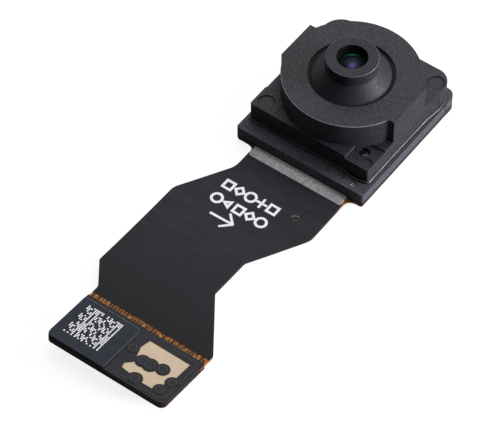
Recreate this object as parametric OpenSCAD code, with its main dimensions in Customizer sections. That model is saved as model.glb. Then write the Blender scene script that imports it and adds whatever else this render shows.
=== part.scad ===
// Fixed-focus front camera module of a phone, on a rigid-flex tail.
// Millimetres, +Z along the lens axis. The origin is on the lens axis, in the
// plane of the rear stiffener's outer face. The tail runs towards -Y, bends
// gently upwards and ends in a small board with a board-to-board plug under it.

/* [Rear stiffener and head board] */
// Thickness of the steel plate under the head
stiffener_t = 0.15; // [0.1:0.01:0.2]
// Distance from the edge of the head board to the edge of the steel plate
stiffener_inset = 0.2; // [0.1:0.05:0.3]
// Thickness of the flexible core
core_t = 0.12; // [0.08:0.01:0.14]
// Thickness of the rigid layer over the core, under the sensor
head_board_t = 0.3; // [0.2:0.05:0.35]

/* [Moulded frame] */
// Width of the frame
frame_w = 9.2; // [9.15:0.05:9.6]
// Distance from the lens axis to the back of the frame
frame_back = 4.69; // [4.69:0.05:5]
// Distance from the lens axis to the front of the frame, where the tail leaves
frame_front = 5.33; // [5.25:0.05:5.6]
// Height of the frame over the head board
frame_h = 0.64; // [0.6:0.02:0.8]

/* [Lens holder] */
// Width of the holder's base
holder_w = 8.5; // [8.4:0.05:8.6]
// Distance from the lens axis to the back of the base
holder_back = 4.56; // [4.4:0.02:4.56]
// Distance from the lens axis to the front of the base
holder_front = 4.36; // [4.3:0.02:4.6]
// Height of the base
holder_base_h = 1.36; // [1.2:0.02:1.6]
// Radius of the round deck at its top
deck_r = 4.24; // [4.16:0.02:4.24]
// Height of the round deck over the base
deck_h = 1.62; // [1.4:0.02:1.8]
// Radius of the bore that takes the lens barrel
holder_bore_r = 2.63; // [2.6:0.01:2.8]
// Depth of the stepped corner that holds the vent
vent_step = 0.26; // [0.2:0.02:0.3]

/* [Lens barrel] */
// Radius of the barrel's body
barrel_r = 2.56; // [2.4:0.02:2.56]
// Radius of the nose that looks out
nose_r = 1.62; // [1.5:0.02:1.7]
// Height of the straight nose
nose_h = 0.8; // [0.6:0.05:0.9]
// Radius of the opening in the nose
opening_r = 0.96; // [0.9:0.02:1.1]

/* [Tail] */
// Width of the tail where it leaves the head
neck_w = 6.85; // [6.4:0.05:7]
// Sideways place of the neck's middle
neck_x = 0.17; // [0:0.01:0.3]
// Width of the long straight run
run_w = 6.8; // [6.4:0.05:7]
// Sideways place of the run's middle
run_x = -1.88; // [-2.1:0.02:-1.6]
// Upward tilt of the tail's end, in degrees
end_tilt = 5.9; // [5.9:0.1:8]
// Thickness of each black cover film
film_t = 0.03; // [0.02:0.005:0.03]

/* [Plug board] */
// Width of the board at the end of the tail
plug_board_w = 8.32; // [8.2:0.02:8.6]
// Length of that board
plug_board_l = 3.91; // [3.7:0.02:4.1]
// Sideways place of the board's middle
plug_board_x = 0.12; // [0:0.02:0.3]
// Number of contacts in each of the plug's two rows
contacts_per_row = 17; // [11:2:17]
// Distance from contact to contact
contact_pitch = 0.35; // [0.3:0.01:0.35]
// Number of copper traces bared beside the board
trace_count = 40; // [24:1:44]

/* [Hidden] */
$fn = 96;
cut = 1;
arc_step = 0.07;
adhesive_t = 0.03;

// Heights of the head's layers
core_z = stiffener_t + adhesive_t;
head_board_z = core_z + core_t;
frame_z = head_board_z + head_board_t;
frame_top = frame_z + frame_h;
holder_z = frame_top + adhesive_t;
base_top = holder_z + holder_base_h;
deck_top = base_top + deck_h;

// Corners of the head, and the parts of the holder that differ from a plain box
holder_half = holder_w / 2;
holder_back_r = 1.05;
corner_block_proud = 0.17;
corner_block_y = [1.8, 2.84];
parting_step = 0.05;
parting_gap = 0.06;
corner_pad = 1.64;
corner_pad_proud = 0.05;
corner_pad_h = 0.03;
wing_y = 1.72;
wing_fillet_r = 0.3;
wing_fillet_lap = 0.1;
wing_slant = [43, 35];
gate_angle = 136.5;
gate_r = 1.3;
gate_proud = 0.15;
deck_chamfer = 0.04;
ejector_r = 0.53;
ejector_depth = 0.06;
vent_at = [3.27, -3.28];
vent_r = 0.33;
vent_pocket = [1.64, 1.8];
shelf_step = 0.17;
vent_channel = [0.3, 0.6, 0.3];
vent_floor = 0.15;
baffle_z = holder_z + 0.43;
bore_z = baffle_z + 0.35;

// Sensor, its window and its filter
window = [6.3, 4.8];
window_r = 0.3;
ledge_z = frame_top - 0.24;
filter_size = [6.7, 5.4];
filter_t = 0.21;
filter_gap = 0.05;
cavity = [6.85, 5.6];
baffle_opening = [4.7, 3.9];
die_size = [5.4, 4.2];
die_t = 0.18;
die_film_t = 0.02;
die_z = frame_z + die_film_t;
wire_pitch = 0.16;
wires_per_side = 24;
wire_w = 0.04;
wire_rise = 0.14;
wire_shoulder = 0.08;
capacitor = [0.6, 0.3, 0.3];
capacitor_step = [0.95, 0.75];
capacitor_at = [-1, -3.75];
memory_size = [1.3, 0.9, 0.3];
memory_at = [-2.7, -4.15];
ground_at = [3.58, -4.9];
ground_r = 0.15;
ground_dish_r = 0.24;
ground_dish = 0.05;

// Lens stack, from the front element to the rear one: flange top, flange
// bottom, rim radius, clear radius, then the crown and wave of each surface.
// Heights are below the top of the nose.
nose_top = 5.69;
barrel_bottom = 2.15;
barrel_body_top = 4.05;
lip_z = nose_top - 0.28;
lip_r = 0.82;
radial_play = 0.01;
ELEMENTS = [
    [5.02, 4.74, 1.15, 0.86, 0.30, 0.02, 0, 0],
    [4.71, 4.48, 1.30, 0.84, -0.04, 0.04, 0, 0],
    [4.40, 4.05, 1.45, 1.05, -0.03, -0.10, 0, 0],
    [3.88, 3.45, 1.80, 1.35, -0.10, -0.12, 0, 0.04],
    [3.12, 2.66, 2.10, 1.75, -0.12, 0.20, 0.02, -0.18]
];
last_element = len(ELEMENTS) - 1;
spacer_lap = 0.04;
ring_t = 0.24;
surface_steps = 10;

// Plan of the tail: where its edges turn, on the left and on the right
neck_left = neck_x - neck_w / 2;
neck_right = neck_x + neck_w / 2;
run_left = run_x - run_w / 2;
run_right = run_x + run_w / 2;
plug_left = plug_board_x - plug_board_w / 2;
plug_right = plug_board_x + plug_board_w / 2;
bend_start = -9;
bend_end = -20;
bend_steps = 16;
bend_r = (bend_start - bend_end) / sin(end_tilt);
film_start = -5.9;
film_hole = [2.0, -8.48];
film_hole_r = 0.2;
bead_h = 0.15;
bead_end = 6.05;
bead_dome = 0.05;

// Board at the end of the tail, measured along it from the end of the bend
board_start = 0.42;
board_stop = board_start + plug_board_l;
board_top_t = 0.13;
board_bottom_t = 0.2;
board_corner_r = 0.4;
plate_t = 0.09;
plate_start = 0.71;
plate_right = 0.04;
board_seam = 0.0002;
pad_depth = 0.04;
pad_t = 0.02;
via_h = 0.02;
VIAS = [
    [0.42, 2.03, 0.42], [1.44, 2.46, 0.46], [1.95, 2.44, 0.5], [2.71, 2.26, 0.44],
    [1.88, 3.77, 0.48], [3.72, 2.72, 0.44], [3.46, 3.55, 0.42]
];
PAD_OUTLINE = [
    [0.85, 1.0], [3.7, 1.02], [3.66, 2.5], [3.15, 3.74], [2.45, 3.76],
    [0.8, 3.55], [0.72, 3.2], [1.1, 2.8], [0.9, 2.2], [0.72, 1.75]
];
trace_w = 0.1;
trace_t = 0.02;
trace_gap = 0.01;

// Plug under the board: depths are measured down from the board
plug_y = 2.5;
plug_half_l = 3.6;
end_block_l = 0.45;
end_block_half_w = 0.95;
plug_depth = 0.7;
plug_floor = 0.2;
rib_in = 0.35;
rib_out = 0.7;
rib_depth = 0.66;
contact_w = 0.16;
metal_t = 0.06;
foot_l = 0.24;
hold_down_w = 1.1;

// ---- Plane shapes -------------------------------------------------------

function unit(v) = v / norm(v);

// Angle from one direction to the next, the short way round
function turn(from, to) = (to - from + 540) % 360 - 180;

// Points of the arc that rounds corner b, between a and c, with radius r
function corner_arc(a, b, c, r) =
    let (
        u = unit(a - b),
        v = unit(c - b),
        half = acos(u * v) / 2,
        middle = b + unit(u + v) * r / sin(half),
        start = b + u * r / tan(half) - middle,
        stop = b + v * r / tan(half) - middle,
        from = atan2(start.y, start.x),
        sweep = turn(from, atan2(stop.y, stop.x)),
        steps = max(2, ceil(r * abs(sweep) * PI / 180 / arc_step))
    )
    [for (i = [0:steps]) middle + r * [cos(from + sweep * i / steps), sin(from + sweep * i / steps)]];

// Outline through corners given as [x, y, radius]
function rounded(corners) =
    let (n = len(corners), p = [for (k = corners) [k.x, k.y]])
    [for (i = [0:n - 1])
        each corners[i][2] > 0
            ? corner_arc(p[(i + n - 1) % n], p[i], p[(i + 1) % n], corners[i][2])
            : [p[i]]];

// Box with upright rounded corners, centred on the lens axis
module slab(size, r, z, t) {
    corners = [for (s = [[-1, -1], [1, -1], [1, 1], [-1, 1]]) [s.x * size.x / 2, s.y * size.y / 2, r]];
    translate([0, 0, z]) linear_extrude(t) polygon(rounded(corners));
}

// Outline of the moulded frame and the head board, with a small step where the
// mould's two halves met at each back corner
module head_plan(inset = 0) {
    half = frame_w / 2 - inset;
    back = half - parting_step;
    step_y = frame_back - 1.3;
    polygon(rounded([
        [-back, frame_back - inset, 0.6],
        [-back, step_y + parting_gap, 0],
        [-half, step_y, 0],
        [-half, inset - frame_front, 0.15],
        [half, inset - frame_front, 0.15],
        [half, step_y, 0],
        [back, step_y + parting_gap, 0],
        [back, frame_back - inset, 0.6]
    ]));
}

// Outline of the flexible core: head, neck, slanted run and the board's width
module core_plan() {
    half = frame_w / 2;
    stop = bend_end - board_stop * cos(end_tilt);
    polygon(rounded([
        [parting_step - half, frame_back, 0.6],
        [parting_step - half, -frame_front, 0.15],
        [neck_left, -frame_front, 0.45],
        [neck_left, -7.26, 1.4],
        [run_left, -10.71, 1.1],
        [run_left, -17.8, 0.2],
        [plug_left, -19.5, 0.6],
        [plug_left, stop, board_corner_r],
        [plug_right, stop, board_corner_r],
        [plug_right, -19.6, 0.6],
        [run_right, -15.7, 0.1],
        [run_right, -12.84, 0.6],
        [neck_right, -9.13, 1.2],
        [neck_right, -frame_front, 0.45],
        [half - parting_step, -frame_front, 0.15],
        [half - parting_step, frame_back, 0.6]
    ]));
}

// Outline of the holder's base, with its two stepped corners
module holder_plan() {
    block = holder_half + corner_block_proud;
    block_end = corner_block_y[1];
    pad = holder_half + corner_pad_proud;
    pad_y = corner_pad - holder_front;
    polygon(rounded([
        [-holder_half, holder_back, holder_back_r],
        [-holder_half, pad_y, 0],
        [-pad, pad_y, 0],
        [-pad, -holder_front, 0.12],
        [holder_half, -holder_front, 0.12],
        [holder_half, corner_block_y[0], 0],
        [block, block_end, 0],
        [block - parting_step, block_end + parting_gap, 0],
        [block - parting_step, holder_back, holder_back_r]
    ]));
}

// ---- Bent and tilted frames of the tail ---------------------------------

// Side view of the tail: points at height h over the core's underside, with a
// straight run after the bend
function bend_line(h, run) =
    let (
        bend = [
            for (i = [0:bend_steps])
                let (a = end_tilt * i / bend_steps)
                [bend_start - (bend_r - h) * sin(a), core_z + bend_r - (bend_r - h) * cos(a)]
        ],
        last = bend[bend_steps]
    )
    [
        [frame_back + cut, core_z + h],
        each bend,
        if (run > 0) last + run * [-cos(end_tilt), sin(end_tilt)]
    ];

function backwards(list) = [for (i = [len(list) - 1:-1:0]) list[i]];

// Layer of the tail between two heights over the core's underside
module tail_band(from, to, run = 0) {
    span = frame_w + 2 * cut + abs(run_x) * 2;
    translate([-span / 2, 0, 0]) rotate([90, 0, 90]) linear_extrude(span)
        polygon([each bend_line(from, run), each backwards(bend_line(to, run))]);
}

// Frame of the plug board: -Y along the tail, Z = 0 at the core's underside
module tail_end() {
    rise = bend_r * (1 - cos(end_tilt));
    translate([0, bend_end, core_z + rise]) rotate([-end_tilt, 0, 0]) children();
}

// Outline of the plug board, with two rounded outer corners
module board_plan() {
    polygon(rounded([
        [plug_left, -board_start, 0],
        [plug_left, -board_stop, board_corner_r],
        [plug_right, -board_stop, board_corner_r],
        [plug_right, -board_start, 0]
    ]));
}

// ---- Head: stiffener, boards, frame and sensor --------------------------

module rear_stiffener() {
    color("silver") linear_extrude(stiffener_t) head_plan(stiffener_inset);
}

module stiffener_adhesive() {
    color("dimgray") translate([0, 0, stiffener_t]) linear_extrude(adhesive_t) head_plan(stiffener_inset);
}

module flex_core() {
    color("darkgoldenrod") intersection() {
        linear_extrude(nose_top) core_plan();
        tail_band(0, core_t, board_stop + cut);
    }
}

module head_board() {
    color([0.1, 0.1, 0.1]) translate([0, 0, head_board_z]) linear_extrude(head_board_t) head_plan();
}

module at_each_capacitor() {
    for (i = [0:4], j = [0:1])
        translate([capacitor_at.x + i * capacitor_step.x, capacitor_at.y - j * capacitor_step.y, frame_z])
            children();
}

module centred_block(size) {
    translate([-size.x / 2, -size.y / 2, 0]) cube(size);
}

module ground_pin(h) {
    translate([ground_at.x, ground_at.y, frame_z]) cylinder(h = h, r = ground_r);
}

module memory_block() {
    translate([memory_at.x, memory_at.y, frame_z]) centred_block(memory_size);
}

module mould_frame() {
    color([0.22, 0.22, 0.24]) difference() {
        translate([0, 0, frame_z]) linear_extrude(frame_h) head_plan();
        slab(window, window_r, frame_z - cut, frame_h + 2 * cut);
        slab([filter_size.x + filter_gap, filter_size.y + filter_gap], window_r, ledge_z, frame_h);
        at_each_capacitor() centred_block(capacitor);
        memory_block();
        ground_pin(frame_h + cut);
        translate([ground_at.x, ground_at.y, frame_top - ground_dish])
            cylinder(h = cut, r = ground_dish_r);
    }
}

module image_sensor() {
    color([0.2, 0.3, 0.35]) translate([0, 0, die_z]) centred_block([die_size.x, die_size.y, die_t]);
}

module die_attach() {
    color("dimgray") translate([0, 0, frame_z]) centred_block([die_size.x, die_size.y, die_film_t]);
}

// One wire, an arch from the board's pad up to the edge of the die
module bond_wire() {
    pad_x = window.x / 2 - 0.12;
    die_x = die_size.x / 2 - 0.1;
    die_top = die_z + die_t;
    crest = die_top + wire_rise;
    rotate([90, 0, 0]) linear_extrude(wire_w, center = true)
        polygon([
            [pad_x, frame_z], [pad_x, crest - wire_shoulder], [pad_x - wire_shoulder, crest],
            [die_x, crest], [die_x, die_top], [die_x + wire_w, die_top],
            [die_x + wire_w, crest - wire_w], [pad_x - wire_shoulder, crest - wire_w],
            [pad_x - wire_w, crest - wire_shoulder - wire_w], [pad_x - wire_w, frame_z]
        ]);
}

module bond_wires() {
    color("gold")
        for (side = [0, 1], i = [0:wires_per_side - 1])
            mirror([side, 0, 0])
                translate([0, (i - (wires_per_side - 1) / 2) * wire_pitch, 0]) bond_wire();
}

module memory_chip() {
    color("slategray") memory_block();
}

module chip_capacitors() {
    color("tan") at_each_capacitor() centred_block(capacitor);
}

module ground_contact() {
    color("silver") ground_pin(frame_h - ground_dish);
}

module filter_glue() {
    color("gray") difference() {
        slab(filter_size, window_r, ledge_z, die_film_t);
        slab(window, window_r, ledge_z - cut, 2 * cut);
    }
}

module infrared_filter() {
    color("skyblue") slab(filter_size, window_r, ledge_z + die_film_t, filter_t);
}

// ---- Lens holder --------------------------------------------------------

// Bead round the holder's foot, and the film of glue under it
module holder_glue() {
    bead_side = 0.22;
    bead_front = 0.12;
    bead_top = 0.12;
    grown = [1 + 2 * bead_side / holder_w, 1 + bead_front / holder_front];
    color([0.08, 0.08, 0.09]) difference() {
        hull() {
            translate([0, 0, frame_top]) linear_extrude(0.02) scale(grown) holder_plan();
            translate([0, 0, holder_z]) linear_extrude(bead_top) holder_plan();
        }
        translate([0, 0, holder_z]) linear_extrude(cut) holder_plan();
        slab(cavity, window_r, frame_top - cut, 2 * cut);
    }
}

// One of the two straight wings that square off the round deck. One end slants
// back into the circle, the other stops at a filleted notch.
module wing_plan(slant) {
    start_r = deck_r - deck_chamfer;
    corner_y = (start_r - holder_half * cos(slant)) / sin(slant);
    fillet_y = -wing_y - wing_fillet_r;
    fillet_x = sqrt((deck_r + wing_fillet_r - wing_fillet_lap) ^ 2 - fillet_y ^ 2);
    difference() {
        polygon([
            start_r * [cos(slant), sin(slant)],
            [holder_half, corner_y],
            [holder_half, -wing_y],
            [fillet_x, -wing_y],
            [fillet_x, fillet_y],
            [0, 0]
        ]);
        translate([fillet_x, fillet_y]) circle(wing_fillet_r);
    }
}

// Round deck with its wings and the land where the mould was filled
module deck() {
    from = base_top - vent_step;
    tall = deck_top - from;
    translate([0, 0, from]) {
        cylinder(h = tall - deck_chamfer, r = deck_r);
        translate([0, 0, tall - deck_chamfer])
            cylinder(h = deck_chamfer, r1 = deck_r, r2 = deck_r - deck_chamfer);
        linear_extrude(tall) wing_plan(wing_slant[0]);
        rotate([0, 0, 180]) linear_extrude(tall) wing_plan(wing_slant[1]);
        rotate([0, 0, gate_angle]) translate([deck_r + gate_proud - gate_r, 0, 0])
            cylinder(h = tall, r = gate_r);
    }
}

module ejector_mark(x, y, z, r) {
    translate([x, y, z - ejector_depth]) cylinder(h = cut, r = r);
}

module holder_base() {
    far = holder_front + cut;
    difference() {
        union() {
            translate([0, 0, holder_z]) linear_extrude(holder_base_h) holder_plan();
            intersection() {
                translate([0, 0, holder_z]) linear_extrude(holder_base_h + corner_pad_h) holder_plan();
                translate([-far, -far, holder_z])
                    cube([far - holder_half + corner_pad, cut + corner_pad, 2 * holder_base_h]);
            }
        }
        translate([holder_half - vent_pocket.x, -far, base_top - shelf_step])
            cube([vent_pocket.x + cut, far - wing_y, cut]);
        translate([holder_half - vent_pocket.x, vent_pocket.y - holder_front - far, base_top - vent_step])
            cube([vent_pocket.x + cut, far, cut]);
        for (side = [-1, 1]) ejector_mark(side * 3.74, 3.58, base_top, ejector_r);
        ejector_mark(-3.56, -3.68, base_top + corner_pad_h, ejector_r);
        ejector_mark(3.86, -3.87, base_top - vent_step, 0.35);
    }
}

module lens_holder() {
    color([0.27, 0.27, 0.29]) difference() {
        union() {
            holder_base();
            deck();
        }
        translate([0, 0, bore_z]) cylinder(h = deck_top, r = holder_bore_r);
        translate([0, 0, deck_top - deck_chamfer])
            cylinder(h = deck_chamfer, r1 = holder_bore_r, r2 = holder_bore_r + deck_chamfer);
        slab(baffle_opening, window_r, holder_z, bore_z);
        slab(cavity, window_r, holder_z - cut, baffle_z - holder_z + cut);
        translate([vent_at.x, vent_at.y, holder_z + vent_floor])
            cylinder(h = holder_base_h, r = vent_r);
        translate([vent_at.x - vent_channel.x, vent_at.y, holder_z]) cube(vent_channel);
    }
}

// Drop of glue that closes the vent once the module is sealed
module vent_seal() {
    top = base_top - vent_step - 0.18;
    drop_h = 0.5;
    color("gainsboro") translate([vent_at.x, vent_at.y, top - drop_h]) cylinder(h = drop_h, r = vent_r);
}

// ---- Lens barrel and its stack ------------------------------------------

// Ring between two heights and two radii
module ring(from, to, inner, outer) {
    translate([0, 0, from]) rotate_extrude()
        polygon([[inner, 0], [outer, 0], [outer, to - from], [inner, to - from]]);
}

module barrel_glue() {
    color([0.1, 0.1, 0.1]) ring(barrel_body_top - 0.7, barrel_body_top, barrel_r, holder_bore_r);
}

module lens_barrel() {
    nose_chamfer = 0.04;
    front = ELEMENTS[0];
    bore = [for (k = ELEMENTS) k[2] + radial_play];
    steps = [
        for (k = [0:last_element])
            each [[bore[k], ELEMENTS[k][0]], [bore[k], k < last_element ? ELEMENTS[k + 1][0] : barrel_bottom]]
    ];
    color([0.2, 0.2, 0.21]) rotate_extrude()
        polygon([
            [barrel_r, barrel_bottom],
            [barrel_r, barrel_body_top],
            [nose_r, nose_top - nose_h],
            [nose_r, nose_top - nose_chamfer],
            [nose_r - nose_chamfer, nose_top],
            [opening_r, nose_top],
            [lip_r, lip_z],
            [lip_r, lip_z - 0.04],
            [front[3] + 0.02, front[0]],
            each steps
        ]);
}

// Height of an aspheric surface over its flange at radius r
function sag(r, clear, crown, wave) =
    let (q = (r / clear) ^ 2)
    crown * (1 - q) + 4 * wave * q * (1 - q);

module lens_element(number) {
    e = ELEMENTS[number - 1];
    clear = e[3];
    radii = [for (i = [0:surface_steps]) clear * i / surface_steps];
    color([0.6, 0.75, 0.8, 0.6]) rotate_extrude()
        polygon([
            for (r = radii) [r, e[0] + sag(r, clear, e[4], e[6])],
            [e[2], e[0]],
            [e[2], e[1]],
            for (i = [surface_steps:-1:0]) [radii[i], e[1] + sag(radii[i], clear, e[5], e[7])]
        ]);
}

// Black rings that set the distance from element to element
module lens_spacers() {
    color([0.08, 0.08, 0.08])
        for (k = [0:last_element - 1])
            ring(ELEMENTS[k + 1][0], ELEMENTS[k][1], ELEMENTS[k][3] + spacer_lap, ELEMENTS[k][2]);
}

module lens_retaining_ring() {
    rear = ELEMENTS[last_element];
    color([0.12, 0.12, 0.12]) ring(rear[1] - ring_t, rear[1], rear[3] + spacer_lap, rear[2]);
}

// ---- Tail ---------------------------------------------------------------

// Bead of glue that eases the flex's bend at the edge of the head
module strain_relief_bead() {
    side_gap = 0.1;
    dome = [
        for (i = [0:8])
            let (t = i / 8)
            [-frame_front - t * (bead_end - frame_front),
             head_board_z + bead_h + t * (film_t - bead_h) + bead_dome * sin(180 * t)]
    ];
    color([0.5, 0.5, 0.52])
        translate([neck_left + side_gap, 0, 0]) rotate([90, 0, 90]) linear_extrude(neck_w - 2 * side_gap)
            polygon([
                [-frame_front, head_board_z],
                each dome,
                [film_start, head_board_z + film_t],
                [film_start, head_board_z]
            ]);
}

// Cover film over or under the core, from one place along the tail to its end
module tail_film(from, height) {
    intersection() {
        linear_extrude(nose_top) core_plan();
        tail_band(height, height + film_t);
        translate([-frame_w, bend_end - cut, 0]) cube([2 * frame_w, from - bend_end + cut, nose_top]);
    }
}

module tail_film_top() {
    color([0.18, 0.18, 0.19]) difference() {
        tail_film(film_start, core_t);
        translate([film_hole.x, film_hole.y, head_board_z]) cylinder(h = cut, r = film_hole_r);
    }
}

module tail_film_bottom() {
    color([0.18, 0.18, 0.19]) tail_film(-frame_front, -film_t);
}

module window_traces() {
    step = (plug_board_w - 2 * trace_w) / trace_count;
    color("orange") tail_end()
        for (i = [0:trace_count - 1])
            translate([plug_left + trace_w + (i + 0.5) * step - trace_w / 2, -board_start, core_t])
                cube([trace_w, board_start - trace_gap, trace_t]);
}

// ---- Plug board ---------------------------------------------------------

module pad_plan() {
    difference() {
        polygon([for (p = PAD_OUTLINE) [p.x, -p.y]]);
        for (v = VIAS) translate([v.x, -v.y]) circle(v[2]);
    }
}

module plug_board_top() {
    top = core_t + board_top_t;
    color([0.15, 0.15, 0.16]) tail_end() difference() {
        union() {
            translate([0, 0, core_t]) linear_extrude(board_top_t) board_plan();
            for (v = VIAS) translate([v.x, -v.y, core_t]) cylinder(h = board_top_t + via_h, r = v[2] * 0.85);
        }
        translate([0, 0, top - pad_depth]) linear_extrude(cut) pad_plan();
    }
}

module plug_board_bottom() {
    color([0.3, 0.22, 0.15]) tail_end() translate([0, 0, -board_bottom_t])
        linear_extrude(board_bottom_t - board_seam) board_plan();
}

module marking_plate() {
    stop = board_stop - 0.03;
    color([0.18, 0.2, 0.24]) tail_end() translate([0, 0, core_t + board_top_t]) linear_extrude(plate_t)
        polygon(rounded([
            [plug_left + 0.03, -plate_start, 0.1],
            [plug_left + 0.03, -stop, board_corner_r],
            [plate_right, -stop, 0.05],
            [plate_right, -plate_start, 0.3]
        ]));
}

module ground_pad() {
    color("burlywood") tail_end() translate([0, 0, core_t + board_top_t - pad_depth])
        linear_extrude(pad_t) pad_plan();
}

// ---- Plug ---------------------------------------------------------------

// Frame of the plug: Z runs down from the board, the rows run along X
module plug_frame() {
    tail_end() translate([plug_board_x, -plug_y, -board_bottom_t]) mirror([0, 0, 1]) children();
}

module plug_housing() {
    block = [end_block_l, 2 * end_block_half_w, plug_depth];
    color([0.12, 0.12, 0.13]) plug_frame() {
        centred_block([2 * plug_half_l, 2 * rib_out, plug_floor]);
        for (side = [-1, 1]) {
            translate([0, side * (rib_in + rib_out) / 2, 0])
                centred_block([2 * plug_half_l, rib_out - rib_in, rib_depth]);
            translate([side * (plug_half_l - end_block_l / 2), 0, 0]) centred_block(block);
        }
    }
}

// Strip that wraps over one rib, from the solder foot to the inner face
module contact() {
    outer = rib_out + metal_t;
    tip = rib_depth + metal_t;
    rotate([90, 0, 90]) linear_extrude(contact_w, center = true)
        polygon([
            [outer + foot_l, 0], [outer + foot_l, metal_t], [outer, metal_t], [outer, tip],
            [rib_in - metal_t, tip], [rib_in - metal_t, 0.3], [rib_in, 0.3], [rib_in, rib_depth],
            [rib_out, rib_depth], [rib_out, 0]
        ]);
}

module plug_contacts() {
    color("gold") plug_frame()
        for (side = [0, 1], i = [0:contacts_per_row - 1])
            mirror([0, side, 0])
                translate([(i - (contacts_per_row - 1) / 2) * contact_pitch, 0, 0]) contact();
}

// Metal fittings soldered at the plug's two ends
module plug_hold_downs() {
    color("gold") plug_frame()
        for (side = [0, 1])
            mirror([side, 0, 0]) rotate([90, 0, 0]) linear_extrude(hold_down_w, center = true)
                polygon([
                    [plug_half_l, 0], [plug_half_l + metal_t + foot_l, 0],
                    [plug_half_l + metal_t + foot_l, metal_t], [plug_half_l + metal_t, metal_t],
                    [plug_half_l + metal_t, plug_depth], [plug_half_l, plug_depth]
                ]);
}

// ---- Nodes --------------------------------------------------------------

rear_stiffener();
stiffener_adhesive();
flex_core();
head_board();
mould_frame();
image_sensor();
die_attach();
bond_wires();
memory_chip();
chip_capacitors();
ground_contact();
filter_glue();
infrared_filter();
holder_glue();
lens_holder();
vent_seal();
barrel_glue();
lens_barrel();
lens_element(1);  // lens_element_1
lens_element(2);  // lens_element_2
lens_element(3);  // lens_element_3
lens_element(4);  // lens_element_4
lens_element(5);  // lens_element_5
lens_spacers();
lens_retaining_ring();
strain_relief_bead();
tail_film_top();
tail_film_bottom();
window_traces();
plug_board_top();
plug_board_bottom();
marking_plate();
ground_pad();
plug_housing();
plug_contacts();
plug_hold_downs();
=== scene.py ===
"""Dresses the fixed-focus camera module and the rigid-flex tail that carries it.

The solids come from the frame. The classes below give each of them its finish,
add the print, some painted highlights, reflections and shade, and the other details
that are too thin for a solid, and set up a plain studio. Lengths are millimetres in
the frame of the solids, but metres where the docstrings of the studio say so.
"""

import logging
import math
from abc import ABC, abstractmethod
from collections.abc import Callable, Iterable
from dataclasses import dataclass
from enum import Enum
from functools import partial

import bmesh
import bpy
from mathutils import Matrix, Vector


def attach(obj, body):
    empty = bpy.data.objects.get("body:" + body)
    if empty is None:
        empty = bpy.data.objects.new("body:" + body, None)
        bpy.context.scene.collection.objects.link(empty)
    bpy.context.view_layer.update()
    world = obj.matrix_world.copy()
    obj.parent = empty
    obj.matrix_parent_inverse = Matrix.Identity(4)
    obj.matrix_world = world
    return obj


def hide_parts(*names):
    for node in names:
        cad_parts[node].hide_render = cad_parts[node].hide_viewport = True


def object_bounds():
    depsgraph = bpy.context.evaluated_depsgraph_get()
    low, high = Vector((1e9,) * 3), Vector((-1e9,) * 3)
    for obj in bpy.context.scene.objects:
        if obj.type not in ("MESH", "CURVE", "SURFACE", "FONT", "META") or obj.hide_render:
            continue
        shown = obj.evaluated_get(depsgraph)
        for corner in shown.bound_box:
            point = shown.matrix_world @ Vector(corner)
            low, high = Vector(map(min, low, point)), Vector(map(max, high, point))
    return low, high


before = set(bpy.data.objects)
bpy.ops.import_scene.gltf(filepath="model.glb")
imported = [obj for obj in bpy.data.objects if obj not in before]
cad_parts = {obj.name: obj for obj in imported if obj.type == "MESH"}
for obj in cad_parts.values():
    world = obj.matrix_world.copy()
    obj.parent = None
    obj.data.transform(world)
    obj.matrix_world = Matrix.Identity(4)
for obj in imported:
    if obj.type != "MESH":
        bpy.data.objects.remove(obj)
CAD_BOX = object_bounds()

log = logging.getLogger("camera_module")

MM = 0.001
# A length in millimetres too small to see, for tests of place.
HAIR = 0.001
BODY = "root"

Rgb = tuple[int, int, int]
Linear = tuple[float, float, float, float]
Point = tuple[float, float]
Triple = tuple[float, float, float]
Socket = bpy.types.NodeSocket

BLACK: Linear = (0.0, 0.0, 0.0, 1.0)
WHITE: Linear = (1.0, 1.0, 1.0, 1.0)

# Nearly all values of a noise pattern lie between these two.
NOISE_LOW = 0.3
NOISE_HIGH = 0.7

# Sides of the circles, from the large ones down to those that are repeated often.
FINE_SIDES = 96
MARK_SIDES = 48
RIM_SIDES = 32
VIA_SIDES = 20
STROKE_SIDES = 12
BAR_SIDES = 10
DOT_SIDES = 8

# Degrees between the steps of an arc, and in a whole turn.
ARC_STEP = 2.5
FULL_TURN = 360


def linear(colour: Rgb, gain: float = 1.0) -> Linear:
    """Turns a colour as it is seen on a screen into the shader's linear one.

    Args:
        colour: red, green and blue from 0 to 255.
        gain: factor on the linear values.

    Returns:
        Linear red, green, blue and an alpha of 1.
    """
    values = (c / 255 for c in colour)
    red, green, blue = (
        gain * (v / 12.92 if v <= 0.04045 else ((v + 0.055) / 1.055) ** 2.4) for v in values
    )
    return red, green, blue, 1.0


def direction(azimuth: float, elevation: float = 0.0) -> Vector:
    """Gives the unit vector that points away from the object in some direction.

    Args:
        azimuth: angle from +X in the floor's plane, in degrees.
        elevation: angle over the floor, in degrees.

    Returns:
        The direction.
    """
    turn, lift = math.radians(azimuth), math.radians(elevation)
    reach = math.cos(lift)
    return Vector((reach * math.cos(turn), reach * math.sin(turn), math.sin(lift)))


# ---- Finishes ---------------------------------------------------------------


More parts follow.
